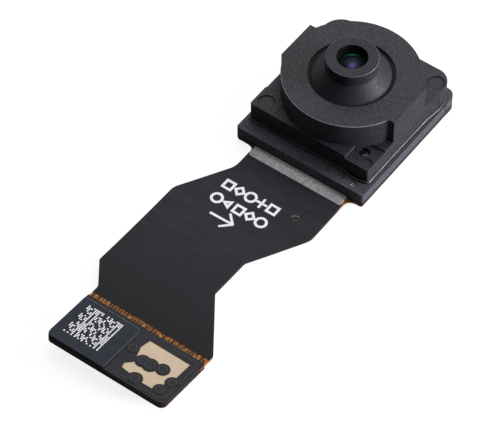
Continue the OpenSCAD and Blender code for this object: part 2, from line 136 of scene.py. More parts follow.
class Graph:
    """The node tree of one material, round a single Principled shader."""

    def __init__(self, name: str, **constants: float | tuple[float, ...]) -> None:
        """Starts the material.

        Args:
            name: the material's name.
            constants: values for the shader's sockets, by name with underscores.
        """
        self.material = bpy.data.materials.new(name)
        self.material.use_nodes = True
        self.tree = self.material.node_tree
        self.tree.nodes.clear()
        self.shader = self.add("ShaderNodeBsdfPrincipled", **constants)
        output = self.add("ShaderNodeOutputMaterial")
        self.tree.links.new(self.shader.outputs["BSDF"], output.inputs["Surface"])
        self.place = self.add("ShaderNodeTexCoord").outputs["Object"]

    def add(self, kind: str, **inputs: object) -> bpy.types.Node:
        """Adds a node and sets or links its inputs.

        Args:
            kind: the node's type.
            inputs: a value or an output socket for each input, by name with underscores.

        Returns:
            The new node.
        """
        node = self.tree.nodes.new(kind)
        for name, value in inputs.items():
            socket = node.inputs[name.replace("_", " ")]
            if isinstance(value, Socket):
                self.tree.links.new(value, socket)
            else:
                socket.default_value = value
        return node

    def stretched(self, factors: Triple) -> Socket:
        """Gives the object's coordinates multiplied by a factor on each axis."""
        return self.add("ShaderNodeMapping", Vector=self.place, Scale=factors).outputs["Vector"]

    def noise(self, size: float, detail: float = 2.0, place: Socket | None = None) -> Socket:
        """Adds a noise pattern.

        Args:
            size: size of its features.
            detail: octaves of finer noise.
            place: coordinates, the object's own if not given.

        Returns:
            The noise from 0 to 1.
        """
        where = place or self.place
        node = self.add("ShaderNodeTexNoise", Vector=where, Scale=1 / (size * MM), Detail=detail)
        return node.outputs["Fac"]

    def ramp(self, factor: Socket, *stops: tuple[float, Linear]) -> Socket:
        """Maps a factor to colours.

        Args:
            factor: the value to look up.
            stops: position and linear colour of each stop.

        Returns:
            The colour.
        """
        node = self.add("ShaderNodeValToRGB", Fac=factor)
        elements = node.color_ramp.elements
        while len(elements) < len(stops):
            elements.new(0.5)
        for element, (position, colour) in zip(elements, stops):
            element.position = position
            element.color = colour
        return node.outputs["Color"]

    def shades(
        self,
        noise: Socket,
        first: Linear,
        second: Linear,
        low: float = NOISE_LOW,
        high: float = NOISE_HIGH,
    ) -> Socket:
        """Maps noise to the shades between two colours.

        Args:
            noise: the pattern.
            first: linear colour where it is low.
            second: linear colour where it is high.
            low: value of the pattern up to which the first colour is plain.
            high: value from which the second colour is plain.

        Returns:
            The colour.
        """
        return self.ramp(noise, (low, first), (high, second))

    def scaled(self, value: Socket, **ends: float) -> Socket:
        """Maps a value from one range to another, whose ends are named as the node's inputs."""
        return self.add("ShaderNodeMapRange", Value=value, **ends).outputs["Result"]

    def span(self, noise: Socket, low: float, high: float) -> Socket:
        """Maps noise to a range of values.

        Args:
            noise: the pattern.
            low: the value where it is low.
            high: the value where it is high.

        Returns:
            The value.
        """
        ends = {"From_Min": NOISE_LOW, "From_Max": NOISE_HIGH, "To_Min": low, "To_Max": high}
        return self.scaled(noise, **ends)

    def along(self, low: float, high: float, axis: str = "Y") -> Socket:
        """Gives 0 to 1 between two places along an axis, in millimetres."""
        axes = self.add("ShaderNodeSeparateXYZ", Vector=self.place)
        return self.scaled(axes.outputs[axis], From_Min=low * MM, From_Max=high * MM)

    def mixed(self, factor: Socket, first: Socket | Linear, second: Socket | Linear) -> Socket:
        """Mixes two colours.

        Args:
            factor: share of the second colour.
            first: the colour at 0, linked or linear.
            second: the colour at 1, linked or linear.

        Returns:
            The mixed colour.
        """
        return self.add("ShaderNodeMixRGB", Fac=factor, Color1=first, Color2=second).outputs["Color"]

    def set(self, **sockets: Socket) -> None:
        """Links the shader's sockets, by name with underscores."""
        for name, value in sockets.items():
            self.tree.links.new(value, self.shader.inputs[name.replace("_", " ")])

    def bump(self, *layers: tuple[Socket, float]) -> None:
        """Adds relief.

        Args:
            layers: height pattern and depth in millimetres of each layer.
        """
        below = {}
        for height, depth in layers:
            node = self.add("ShaderNodeBump", Height=height, Distance=depth * MM, **below)
            below = {"Normal": node.outputs["Normal"]}
        self.set(**below)


@dataclass(frozen=True)
class Finish(ABC):
    """What a surface is made of. Its name is that of the material."""

    name: str

    @abstractmethod
    def build(self) -> bpy.types.Material:
        """Builds the material."""


@dataclass(frozen=True)
class MouldedPlastic(Finish):
    """Filled black plastic with the fine grain of a spark-eroded tool."""

    colour: Rgb
    roughness: float = 0.45
    grain: float = 0.1
    relief: float = 0.03
    contrast: float = 0.9
    gloss: float = 0.3
    rough_pits: float = 0.16
    smooth_peaks: float = 0.12

    def build(self) -> bpy.types.Material:
        """Builds the material: grain in colour, gloss and relief.

        Returns:
            The material.
        """
        graph = Graph(self.name, Specular_IOR_Level=self.gloss)
        grain = graph.noise(self.grain, detail=3)
        dark, light = (linear(self.colour, 1 + side * self.contrast) for side in (-1, 1))
        graph.set(
            Base_Color=graph.shades(grain, dark, light),
            Roughness=graph.span(
                grain, self.roughness + self.rough_pits, self.roughness - self.smooth_peaks
            ),
        )
        graph.bump((grain, self.relief))
        return graph.material


@dataclass(frozen=True)
class CoverFilm(Finish):
    """Matt black film over the copper, which shows as faint ribs along the tail.

    It darkens between two places along Y towards the end board, as painted shade.
    """

    colour: Rgb
    # Colour at the end board, darker than the film's own: painted shade.
    far: Rgb
    fade: Point = (-19.5, -12.0)
    rib_pitch: float = 0.28
    rib_depth: float = 0.004
    grain: float = 0.06
    grain_depth: float = 0.003
    streak: float = 0.5
    drift: float = 0.25
    roughness: float = 0.62
    spread: float = 0.05
    gloss: float = 0.2

    def build(self) -> bpy.types.Material:
        """Builds the material: ribs along the tail, a fine matt grain and painted shade.

        Returns:
            The material.
        """
        graph = Graph(self.name, Specular_IOR_Level=self.gloss)
        ribs = graph.noise(self.rib_pitch, detail=1, place=graph.stretched((1, 0.03, 0.03)))
        grain = graph.noise(self.grain, detail=2)
        streaks = graph.noise(self.streak, detail=3, place=graph.stretched((0.25, 1.6, 1)))
        far, near = (
            graph.shades(streaks, linear(colour, 1 - self.drift), linear(colour, 1 + self.drift))
            for colour in (self.far, self.colour)
        )
        graph.set(
            Base_Color=graph.mixed(graph.along(*self.fade), far, near),
            Roughness=graph.span(grain, self.roughness - self.spread, self.roughness + self.spread),
        )
        depths = (ribs, self.rib_depth), (streaks, self.rib_depth), (grain, self.grain_depth)
        graph.bump(*depths)
        return graph.material


@dataclass(frozen=True)
class Laminate(Finish):
    """Board or film with a grain in its plane and slightly drifting colour."""

    colours: tuple[Rgb, Rgb]
    roughness: float
    grain: float = 0.15
    relief: float = 0.002
    gloss: float = 0.5
    spread: float = 0.05
    meeting: Point = (0.32, 0.68)

    def build(self) -> bpy.types.Material:
        """Builds the material: two shades mixed by noise that lies in the layers.

        Returns:
            The material.
        """
        graph = Graph(self.name, Specular_IOR_Level=self.gloss)
        fibres = graph.noise(self.grain, detail=4, place=graph.stretched((1, 1, 4)))
        first, second = (linear(colour) for colour in self.colours)
        graph.set(
            Base_Color=graph.shades(fibres, first, second, *self.meeting),
            Roughness=graph.span(fibres, self.roughness - self.spread, self.roughness + self.spread),
        )
        graph.bump((fibres, self.relief))
        return graph.material


@dataclass(frozen=True)
class FlexCore(Finish):
    """Amber core, sooty from the cut except where its edge lies bare.

    Each amber stretch is given by its two ends along Y, and its blur is a share of the reach.
    """

    amber: tuple[Rgb, Rgb]
    # Painted shade, over the core wherever its amber does not show.
    edge_shade: Rgb
    reach: Point = (-24.0, -4.0)
    amber_spans: tuple[Point, ...] = ((-20.7, -19.7), (-6.3, -5.35))
    blur: float = 0.01
    grain: float = 0.12
    relief: float = 0.004
    drift: float = 0.3
    roughness: Point = (0.35, 0.5)
    gloss: float = 0.3

    def build(self) -> bpy.types.Material:
        """Builds the material: painted shade, with amber grain at the amber stretches.

        Returns:
            The material.
        """
        graph = Graph(self.name, Specular_IOR_Level=self.gloss)
        grain = graph.noise(self.grain, detail=3)
        amber = graph.shades(grain, *(linear(colour) for colour in self.amber))
        dark, light = (linear(self.edge_shade, 1 + side * self.drift) for side in (-1, 1))
        low, high = self.reach
        stops = [(0.0, BLACK)]
        for start, end in self.amber_spans:
            first, last = ((y - low) / (high - low) for y in (start, end))
            stops += [(first - self.blur, BLACK), (first, WHITE)]
            stops += [(last, WHITE), (last + self.blur, BLACK)]
        window = graph.ramp(graph.along(low, high), *stops)
        graph.set(
            Base_Color=graph.mixed(window, graph.shades(grain, dark, light), amber),
            Roughness=graph.span(grain, *self.roughness),
        )
        graph.bump((grain, self.relief))
        return graph.material


@dataclass(frozen=True)
class Metal(Finish):
    """Bare or plated metal, from brushed steel to rough gold."""

    colour: Rgb
    roughness: float
    grain: float = 0.06
    relief: float = 0.001
    tarnish: float = 0.15
    patch: float = 0.7
    clean_from: float = 0.6
    spread: float = 0.08
    brushed: bool = False

    def build(self) -> bpy.types.Material:
        """Builds the material: brushed or sanded relief and a little tarnish.

        Returns:
            The material.
        """
        graph = Graph(self.name, Metallic=1.0)
        place = graph.stretched((0.04, 1, 1)) if self.brushed else None
        grain = graph.noise(self.grain, detail=3, place=place)
        patches = graph.noise(self.patch)
        dull, clean = linear(self.colour, 1 - self.tarnish), linear(self.colour)
        graph.set(
            Base_Color=graph.shades(patches, dull, clean, high=self.clean_from),
            Roughness=graph.span(grain, self.roughness - self.spread, self.roughness + self.spread),
        )
        graph.bump((grain, self.relief))
        return graph.material


@dataclass(frozen=True)
class BareCopper(Finish):
    """Copper lines seen through amber film, bright and dull by turns."""

    dull: Rgb
    bright: Rgb
    pitch: float = 0.15
    relief: float = 0.006
    speckle: float = 0.05
    dull_to: float = 0.5
    roughness: Point = (0.28, 0.45)
    metal: float = 0.5
    gloss: float = 0.3

    def build(self) -> bpy.types.Material:
        """Builds the material: colour that changes from line to line.

        Returns:
            The material.
        """
        graph = Graph(self.name, Metallic=self.metal, Specular_IOR_Level=self.gloss)
        lines = graph.noise(self.pitch, detail=3, place=graph.stretched((1, 0.35, 0.35)))
        dull, bright = linear(self.dull), linear(self.bright)
        graph.set(
            Base_Color=graph.shades(lines, dull, bright, low=self.dull_to),
            Roughness=graph.span(graph.noise(self.speckle), *self.roughness),
        )
        graph.bump((lines, self.relief))
        return graph.material


@dataclass(frozen=True)
class Glue(Finish):
    """Cured glue: glossy, lumpy and a little cloudy."""

    colours: tuple[Rgb, Rgb]
    roughness: float = 0.3
    lump: float = 0.25
    dust: float = 0.06
    relief: float = 0.02
    clearness: float = 0.0
    meeting: Point = (0.35, 0.66)
    spread: Point = (-0.08, 0.12)

    def build(self) -> bpy.types.Material:
        """Builds the material: soft lumps, fine dust and a cloudy colour.

        Returns:
            The material.
        """
        graph = Graph(self.name, Transmission_Weight=self.clearness)
        lumps = graph.noise(self.lump, detail=2)
        dust = graph.noise(self.dust, detail=3)
        first, second = (linear(colour) for colour in self.colours)
        graph.set(
            Base_Color=graph.shades(dust, first, second, *self.meeting),
            Roughness=graph.span(lumps, *(self.roughness + step for step in self.spread)),
        )
        graph.bump((lumps, self.relief), (dust, self.relief / 4))
        return graph.material


@dataclass(frozen=True)
class DrawnGlue(Finish):
    """Grey glue drawn out in fine strokes along the tail, with a painted highlight at its middle.

    The ends lie along X, and the middle is given by its two shares of that way.
    """

    dull: Rgb
    bright: Rgb
    roughness: float = 0.36
    relief: float = 0.01
    ends: Point = (-4.6, 5.0)
    middle: Point = (0.35, 0.65)
    stroke: float = 0.09
    # Factor on the dull colour at the bead's ends: painted shade.
    shade: float = 0.7
    meeting: Point = (0.38, 0.68)
    spread: Point = (-0.08, 0.12)

    def build(self) -> bpy.types.Material:
        """Builds the material: a painted highlight of light strokes, shaded towards both ends.

        Returns:
            The material.
        """
        graph = Graph(self.name)
        strokes = graph.noise(self.stroke, detail=4, place=graph.stretched((1, 0.35, 0.35)))
        first, last = self.middle
        # Painted highlight along the bead's middle, shaded towards both ends.
        stops = (0.0, BLACK), (first, WHITE), (last, WHITE), (1.0, BLACK)
        lit = graph.ramp(graph.along(*self.ends, "X"), *stops)
        stroke = graph.shades(strokes, linear(self.dull), linear(self.bright), *self.meeting)
        graph.set(
            Base_Color=graph.mixed(lit, linear(self.dull, self.shade), stroke),
            Roughness=graph.span(strokes, *(self.roughness + step for step in self.spread)),
        )
        graph.bump((strokes, self.relief))
        return graph.material


@dataclass(frozen=True)
class CoatedGlass(Finish):
    """Clear lens or filter whose coating tints what it reflects."""

    body: Rgb
    tint: Rgb
    reflection: float = 0.25
    index: float = 1.54
    haze: float = 0.4
    stain: float = 0.94
    roughness: Point = (0.0, 0.006)

    def build(self) -> bpy.types.Material:
        """Builds the material: clear body, thin coating and the faintest haze.

        Returns:
            The material.
        """
        graph = Graph(
            self.name,
            Transmission_Weight=1.0,
            IOR=self.index,
            Specular_IOR_Level=self.reflection,
            Specular_Tint=linear(self.tint),
        )
        haze = graph.noise(self.haze)
        clear, stained = linear(self.body), linear(self.body, self.stain)
        graph.set(
            Base_Color=graph.shades(haze, clear, stained),
            Roughness=graph.span(haze, *self.roughness),
        )
        return graph.material


@dataclass(frozen=True)
class Glint:
    """One painted reflection: a soft patch of coating colour, as an ellipse seen from above."""

    colour: Rgb
    azimuth: float
    radius: float
    across: float
    along: float


@dataclass(frozen=True)
class CoatedLens(Finish):
    """Front lens over a black barrel: dark and glossy, with painted reflections as coloured glints.

    A glint is at its full colour where its falling-off is above the core value.
    """

    dark: Rgb
    glints: tuple[Glint, ...]
    core: float = 0.75
    haze: float = 0.3
    drift: float = 0.2
    roughness: Point = (0.03, 0.06)
    gloss: float = 0.07

    def build(self) -> bpy.types.Material:
        """Builds the material: dark ground with one soft painted ellipse for each glint.

        Returns:
            The material.
        """
        graph = Graph(self.name, Specular_IOR_Level=self.gloss)
        haze = graph.noise(self.haze)
        ground = (linear(self.dark, 1 + side * self.drift) for side in (-1, 1))
        colour = graph.shades(haze, *ground)
        for glint in self.glints:
            turn = math.radians(glint.azimuth)
            reach = glint.radius * MM
            place = graph.add(
                "ShaderNodeMapping",
                Vector=graph.place,
                Location=(reach * math.cos(turn), reach * math.sin(turn), 0),
                Rotation=(0, 0, turn),
                Scale=(glint.along * MM, glint.across * MM, 1),
            )
            place.vector_type = "TEXTURE"
            spot = graph.add("ShaderNodeTexGradient", Vector=place.outputs["Vector"])
            spot.gradient_type = "SPHERICAL"
            share = graph.shades(spot.outputs["Fac"], BLACK, WHITE, 0.0, self.core)
            colour = graph.mixed(share, colour, linear(glint.colour))
        graph.set(Base_Color=colour, Roughness=graph.span(haze, *self.roughness))
        return graph.material


@dataclass(frozen=True)
class Ink(Finish):
    """Opaque print, slightly uneven where it thins out."""

    colour: Rgb
    thin: Rgb
    patch: float = 0.12
    full_from: float = 0.45
    relief: float = 0.002
    roughness: float = 0.55

    def build(self) -> bpy.types.Material:
        """Builds the material: full colour that thins in small patches.

        Returns:
            The material.
        """
        graph = Graph(self.name, Roughness=self.roughness)
        cover = graph.noise(self.patch, detail=3)
        thin, full = linear(self.thin), linear(self.colour)
        graph.set(Base_Color=graph.shades(cover, thin, full, high=self.full_from))
        graph.bump((cover, self.relief))
        return graph.material


@dataclass(frozen=True)
class PaintedPlate(Finish):
    """Satin dark plate whose paint is brushed smooth and lightly clouded."""

    colours: tuple[Rgb, Rgb]
    roughness: float = 0.42
    spread: float = 0.05
    cloud: float = 0.5
    dust: float = 0.05
    relief: float = 0.001
    gloss: float = 0.15

    def build(self) -> bpy.types.Material:
        """Builds the material: two close shades in soft clouds, with fine dust.

        Returns:
            The material.
        """
        graph = Graph(self.name, Specular_IOR_Level=self.gloss)
        clouds = graph.noise(self.cloud, detail=4)
        dust = graph.noise(self.dust, detail=1)
        first, second = (linear(colour) for colour in self.colours)
        graph.set(
            Base_Color=graph.shades(clouds, first, second),
            Roughness=graph.span(dust, self.roughness - self.spread, self.roughness + self.spread),
        )
        graph.bump((dust, self.relief))
        return graph.material


def paint(finish: Finish, *nodes: str) -> None:
    """Puts a finish on solids of the frame.

    Args:
        finish: the finish to build.
        nodes: names of the solids' nodes.
    """
    material = finish.build()
    for name in nodes:
        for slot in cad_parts[name].material_slots:
            slot.material = material
        log.info("%s: finished as %s", name, finish.name)


# ---- Making pieces ----------------------------------------------------------


def mesh_from(bm: bmesh.types.BMesh, name: str) -> bpy.types.Mesh:
    """Turns a bmesh into a mesh.

    Args:
        bm: the shape, which is freed.
        name: the mesh's name.

    Returns:
        The mesh.
    """
    mesh = bpy.data.meshes.new(name)
    bm.to_mesh(mesh)
    bm.free()
    return mesh


def add_object(name: str, data: bpy.types.ID) -> bpy.types.Object:
    """Adds an object to the scene.

    Args:
        name: its name.
        data: its mesh, lamp or camera.

    Returns:
        The object.
    """
    made = bpy.data.objects.new(name, data)
    bpy.context.scene.collection.objects.link(made)
    return made


def join(into: bmesh.types.BMesh, other: bmesh.types.BMesh, place: Matrix) -> None:
    """Adds one shape to another at its place.

    Args:
        into: the shape that grows.
        other: the shape that is added, which is freed.
        place: where it goes.
    """
    bmesh.ops.transform(other, verts=other.verts, matrix=place)
    mesh = mesh_from(other, "join")
    into.from_mesh(mesh)
    bpy.data.meshes.remove(mesh)


def piece_from(
    bm: bmesh.types.BMesh,
    name: str,
    finish: Finish,
    place: Callable[[Vector], Vector],
    smooth: bool = False,
) -> bpy.types.Object:
    """Turns a bmesh in millimetres into a finished piece of the object.

    Args:
        bm: the shape, which is freed.
        name: the piece's name.
        finish: its finish.
        place: moves a point of the shape to its place on the object.
        smooth: whether its faces shade as one curved surface.

    Returns:
        The piece, with its place in its mesh.
    """
    for vertex in bm.verts:
        vertex.co = place(vertex.co) * MM
    bmesh.ops.recalc_face_normals(bm, faces=bm.faces)
    mesh = mesh_from(bm, name)
    if smooth:
        mesh.shade_smooth()
    mesh.materials.append(finish.build())
    piece = add_object(name, mesh)
    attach(piece, BODY)
    log.info("%s: %d faces", name, len(mesh.polygons))
    return piece


def bead_along(
    path: Iterable[Point], height: float, radius: float, name: str, finish: Finish
) -> bpy.types.Object:
    """Lays a round bead along a closed path.

    Args:
        path: the corners of the path.
        height: height of its middle.
        radius: its radius.
        name: the piece's name.
        finish: its finish.

    Returns:
        The piece.
    """
    curve = bpy.data.curves.new(name, "CURVE")
    curve.dimensions = "3D"
    curve.bevel_depth = radius
    curve.bevel_resolution = 4
    corners = list(path)
    line = curve.splines.new("POLY")
    line.points.add(len(corners) - 1)
    for point, (x, y) in zip(line.points, corners):
        point.co = x, y, height, 1
    line.use_cyclic_u = True
    swept = bpy.data.objects.new(name, curve)
    mesh = bpy.data.meshes.new_from_object(swept)
    bpy.data.objects.remove(swept)
    bm = bmesh.new()
    bm.from_mesh(mesh)
    bpy.data.meshes.remove(mesh)
    return piece_from(bm, name, finish, Vector, smooth=True)


def raise_faces(bm: bmesh.types.BMesh, height: float) -> None:
    """Gives a flat shape at Z = 0 a thickness.

    Args:
        bm: the shape.
        height: how far its copy rises.
    """
    raised = bmesh.ops.extrude_face_region(bm, geom=bm.faces[:], use_keep_orig=True)
    verts = [g for g in raised["geom"] if isinstance(g, bmesh.types.BMVert)]
    bmesh.ops.translate(bm, verts=verts, vec=(0, 0, height))


def add_outline(
    bm: bmesh.types.BMesh, centre: Point, radius: float, sides: int, width: float, turn: float = 0.0
) -> None:
    """Adds a flat ring or an open polygon.

    Args:
        bm: the shape that it is added to.
        centre: its centre.
        radius: distance from the centre to its outer corners.
        sides: number of sides.
        width: width of its line.
        turn: turn about its centre, in degrees.
    """
    place = Matrix.Translation((*centre, 0)) @ Matrix.Rotation(math.radians(turn), 4, "Z")
    made = bmesh.ops.create_circle(bm, cap_ends=True, radius=radius, segments=sides, matrix=place)
    inner = list({face for vertex in made["verts"] for face in vertex.link_faces})
    bmesh.ops.inset_region(
        bm, faces=inner, thickness=width, use_even_offset=True, use_boundary=True
    )
    bmesh.ops.delete(bm, geom=inner, context="FACES")


def add_disc(bm: bmesh.types.BMesh, centre: Point, radius: float, sides: int) -> None:
    """Adds a flat disc.

    Args:
        bm: the shape that it is added to.
        centre: its centre.
        radius: its radius.
        sides: number of sides.
    """
    place = Matrix.Translation((*centre, 0))
    bmesh.ops.create_circle(bm, cap_ends=True, radius=radius, segments=sides, matrix=place)


def add_stroke(bm: bmesh.types.BMesh, start: Point, end: Point, width: float) -> None:
    """Adds a flat line with round ends.

    Args:
        bm: the shape that it is added to.
        start: middle of its first end.
        end: middle of its other end.
        width: its width.
    """
    run = Vector(end) - Vector(start)
    made = bmesh.ops.create_circle(bm, cap_ends=True, radius=width / 2, segments=STROKE_SIDES)
    far = [v for v in made["verts"] if v.co.x > 0]
    bmesh.ops.translate(bm, verts=far, vec=(run.length, 0, 0))
    turn = Matrix.Rotation(math.atan2(run.y, run.x), 4, "Z")
    bmesh.ops.transform(bm, verts=made["verts"], matrix=Matrix.Translation((*start, 0)) @ turn)


def add_line(bm: bmesh.types.BMesh, corners: tuple[Point, ...], width: float) -> None:
    """Adds a flat line through some corners.

    Args:
        bm: the shape that it is added to.
        corners: its ends and corners in order.
        width: its width.
    """
    for start, end in zip(corners, corners[1:]):
        add_stroke(bm, start, end, width)


def add_arc(
    bm: bmesh.types.BMesh, radius: float, height: float, thickness: float, start: float, end: float
) -> None:
    """Adds a thin round bar that follows a circle about the lens axis.

    Args:
        bm: the shape that it is added to.
        radius: radius of the circle.
        height: height of the circle.
        thickness: radius of the bar.
        start: azimuth of its first end, in degrees.
        end: azimuth of its other end, in degrees.
    """
    place = Matrix.Translation((radius, 0, height)) @ Matrix.Rotation(math.pi / 2, 4, "X")
    made = bmesh.ops.create_circle(bm, radius=thickness, segments=BAR_SIDES, matrix=place)
    turn = Matrix.Rotation(math.radians(start), 3, "Z")
    bmesh.ops.rotate(bm, verts=made["verts"], cent=(0, 0, 0), matrix=turn)
    edges = list({edge for vertex in made["verts"] for edge in vertex.link_edges})
    bmesh.ops.spin(
        bm,
        geom=made["verts"] + edges,
        cent=(0, 0, 0),
        axis=(0, 0, 1),
        angle=math.radians(end - start),
        steps=round(abs(end - start) / ARC_STEP),
        use_merge=end - start == FULL_TURN,
    )


# ---- The tail's two surfaces ------------------------------------------------


@dataclass(frozen=True)
class TailShape:
    """Where the tail lies: flat from the head, then a gentle bend, then a tilted end."""

    core_z: float = 0.18
    bend_start: float = -9.0
    bend_end: float = -20.0
    tilt: float = 5.9

    @property
    def bend_radius(self) -> float:
        """Radius of the bend at the underside of the core."""
        return (self.bend_start - self.bend_end) / math.sin(math.radians(self.tilt))

    def bent(self, height: float, point: Vector) -> Vector:
        """Moves a point of the plan to its place on a layer of the tail.

        Args:
            height: height of the layer over the underside of the core.
            point: the point, with its own height over the layer.

        Returns:
            Its place.
        """
        past = max(0.0, self.bend_start - point.y)
        reach = self.bend_radius - height
        rise = self.bend_radius - reach * math.cos(math.asin(past / reach))
        return Vector((point.x, point.y, self.core_z + rise + point.z))

    def on_bend(self, height: float) -> Callable[[Vector], Vector]:
        """Gives the function that moves points of the plan to a layer at some height."""
        return partial(self.bent, height)

    def on_board(self, height: float) -> Callable[[Vector], Vector]:
        """Gives the placing of shapes on a layer of the board at the tail's end.

        Args:
            height: height of the layer over the underside of the core.

        Returns:
            A function from a point measured along the board to its place.
        """
        angle = math.radians(self.tilt)
        rise = self.bend_radius * (1 - math.cos(angle))
        end = Matrix.Translation((0, self.bend_end, self.core_z + rise))
        matrix = end @ Matrix.Rotation(-angle, 4, "X") @ Matrix.Translation((0, 0, height))
        return lambda point: matrix @ point


# ---- Sub-assemblies ---------------------------------------------------------


@dataclass
class Head:
    """Stiffener, boards, moulded frame and the sensor package."""

    plastic: MouldedPlastic = MouldedPlastic(
        "frame_compound", (72, 68, 78), roughness=0.5, contrast=0.5, gloss=0.25
    )
    seam: MouldedPlastic = MouldedPlastic("seam_shade", (10, 10, 12), roughness=0.8, gloss=0.1)
    # X, Y and the two heights of each seam.
    seams: tuple[tuple[float, float, float, float], ...] = (
        (4.37, 2.96, 1.55, 2.28),
        (4.55, 3.51, 0.62, 1.2),
    )
    seam_width: float = 0.08
    seam_depth: float = 0.01

    def dress(self) -> None:
        """Finishes the head's solids."""
        paint(Metal("brushed_steel", (176, 176, 172), roughness=0.35, brushed=True), "rear_stiffener")
        paint(Laminate("bonding_film", ((60, 52, 40), (78, 68, 52)), roughness=0.6), "stiffener_adhesive")
        # The dark colour is painted shade on the core's cut edges and in the hole in the film.
        paint(FlexCore("amber_core", ((100, 54, 16), (182, 110, 36)), (32, 29, 30)), "flex_core")
        paint(Laminate("head_mask", ((30, 28, 30), (48, 39, 37)), roughness=0.45, gloss=0.3), "head_board")
        paint(self.plastic, "mould_frame")
        paint(Metal("die_surface", (70, 82, 96), roughness=0.2, relief=0.0002), "image_sensor")
        paint(Laminate("die_film", ((50, 50, 48), (70, 70, 66)), roughness=0.6), "die_attach")
        paint(Metal("bond_gold", (226, 180, 96), roughness=0.22), "bond_wires")
        paint(MouldedPlastic("chip_compound", (34, 34, 36), roughness=0.45), "memory_chip")
        ceramic = Laminate("capacitor_ceramic", ((140, 112, 84), (164, 134, 104)), roughness=0.5)
        paint(ceramic, "chip_capacitors")
        paint(Metal("solder", (206, 206, 208), roughness=0.25, relief=0.003), "ground_contact")

    def build_seams(self) -> None:
        """Builds the fine upright seams on the right walls near the rear corner."""
        bm = bmesh.new()
        upright = Matrix.Rotation(-math.pi / 2, 4, "Y")
        for x, y, low, high in self.seams:
            line = bmesh.new()
            add_stroke(line, (low, 0), (high, 0), self.seam_width)
            raise_faces(line, self.seam_depth)
            join(bm, line, Matrix.Translation((x + self.seam_depth / 2, y, 0)) @ upright)
        piece_from(bm, "corner_seams", self.seam, Vector)


@dataclass
class Holder:
    """Lens holder, the glue round its foot, and the vent in its stepped corner."""

    plastic: MouldedPlastic = MouldedPlastic("holder_plastic", (42, 40, 48), contrast=0.6)
    # Near black for the flat rings round the pin marks: painted shade of their gaps.
    shade: MouldedPlastic = MouldedPlastic("pin_gap_shade", (12, 12, 13), roughness=0.7, contrast=0.3)
    glue: Glue = Glue("black_glue", ((22, 22, 24), (32, 32, 35)), roughness=0.42, lump=0.6, relief=0.01)
    vent: Glue = Glue("vent_glue", ((14, 14, 15), (22, 22, 24)), roughness=0.12, relief=0.01)
    # X, Y, height of the floor and radius of each ejector-pin mark.
    pin_marks: tuple[tuple[float, float, float, float], ...] = (
        (-3.74, 3.58, 2.57, 0.53),
        (3.74, 3.58, 2.57, 0.53),
        (-3.56, -3.68, 2.6, 0.53),
        (3.86, -3.87, 2.31, 0.35),
    )
    pin_gap_shade: float = 0.06
    pin_clear: float = 0.002
    # The bead's route, which bulges where the glue ran out at the front corner.
    foot: tuple[Point, ...] = (
        (-4.3, -4.36),
        (-1.2, -4.35),
        (0.6, -4.37),
        (2.5, -4.37),
        (3.0, -4.47),
        (3.3, -4.53),
        (3.7, -4.48),
        (4.0, -4.42),
        (4.22, -4.37),
        (4.27, -4.2),
        (4.25, -1.5),
        (4.27, 1.75),
        (4.42, 2.84),
        (4.38, 3.55),
        (4.08, 4.2),
        (3.35, 4.54),
        (-3.2, 4.55),
        (-3.94, 4.24),
        (-4.25, 3.5),
        (-4.25, -2.7),
    )
    bead_r: float = 0.1
    bead_z: float = 1.27
    # A light grey for the bar on the deck's edge: a painted highlight.
    edge: MouldedPlastic = MouldedPlastic("deck_edge_highlight", (128, 126, 134), relief=0.004, contrast=0.3)
    edge_r: float = 0.028
    # Radius and height of the painted highlight on the deck's edge, and the azimuths of its two ends.
    deck_edge_highlight: Point = (4.215, 4.225)
    edge_span: Point = (204, 333)
    drop_at: Triple = (3.27, -3.28, 2.19)
    drop_r: float = 0.32
    drop_h: float = 0.16
    witness_width: float = 0.035
    witness_height: float = 0.012
    # The two ends and the height of each line.
    witness_lines: tuple[tuple[Point, Point, float], ...] = (
        ((-3.98, -2.70), (-3.35, -2.74), 2.63),
        ((-3.92, -2.63), (-3.42, -2.66), 2.63),
        ((-2.54, -4.32), (-2.62, -4.02), 2.63),
    )

    def dress(self) -> None:
        """Finishes the holder's solids."""
        paint(self.plastic, "lens_holder")
        paint(self.vent, "vent_seal")

    def build_witness_lines(self) -> None:
        """Builds the fine lines that the mould left on the base's top face."""
        bm = bmesh.new()
        for start, end, height in self.witness_lines:
            line = bmesh.new()
            add_stroke(line, start, end, self.witness_width)
            raise_faces(line, self.witness_height)
            join(bm, line, Matrix.Translation((0, 0, height)))
        piece_from(bm, "witness_lines", self.plastic, Vector)

    def build_pin_rings(self) -> None:
        """Builds flat near-black rings round the pin marks: painted shade of their gaps."""
        bm = bmesh.new()
        for x, y, floor, radius in self.pin_marks:
            ring = bmesh.new()
            add_outline(ring, (x, y), radius - self.pin_clear, MARK_SIDES, self.pin_gap_shade)
            raise_faces(ring, self.witness_height)
            join(bm, ring, Matrix.Translation((0, 0, floor)))
        piece_from(bm, "ejector_rings", self.shade, Vector)

    def build_glue_bead(self) -> None:
        """Builds the rounded bead of glue, which wanders out near the front corner."""
        piece = bead_along(self.foot, self.bead_z, self.bead_r, "glue_bead", self.glue)
        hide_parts("holder_glue")

    def build_deck_edge(self) -> None:
        """Builds a light round bar along the deck's edge between its two wings, a painted highlight."""
        bm = bmesh.new()
        add_arc(bm, *self.deck_edge_highlight, self.edge_r, *self.edge_span)
        piece_from(bm, "deck_edge_highlight", self.edge, Vector, smooth=True)

    def build_vent_drop(self) -> None:
        """Builds the glossy drop of glue that closes the vent, the upper half of a ball."""
        bm = bmesh.new()
        rounds = {"u_segments": RIM_SIDES, "v_segments": RIM_SIDES // 2}
        bmesh.ops.create_uvsphere(bm, radius=self.drop_r, **rounds)
        low = [v for v in bm.verts if v.co.z < -HAIR]
        bmesh.ops.delete(bm, geom=low, context="VERTS")
        bmesh.ops.scale(bm, vec=(1, 1, self.drop_h / self.drop_r), verts=bm.verts)
        bmesh.ops.translate(bm, vec=self.drop_at, verts=bm.verts)
        piece_from(bm, "vent_drop", self.vent, Vector, smooth=True)


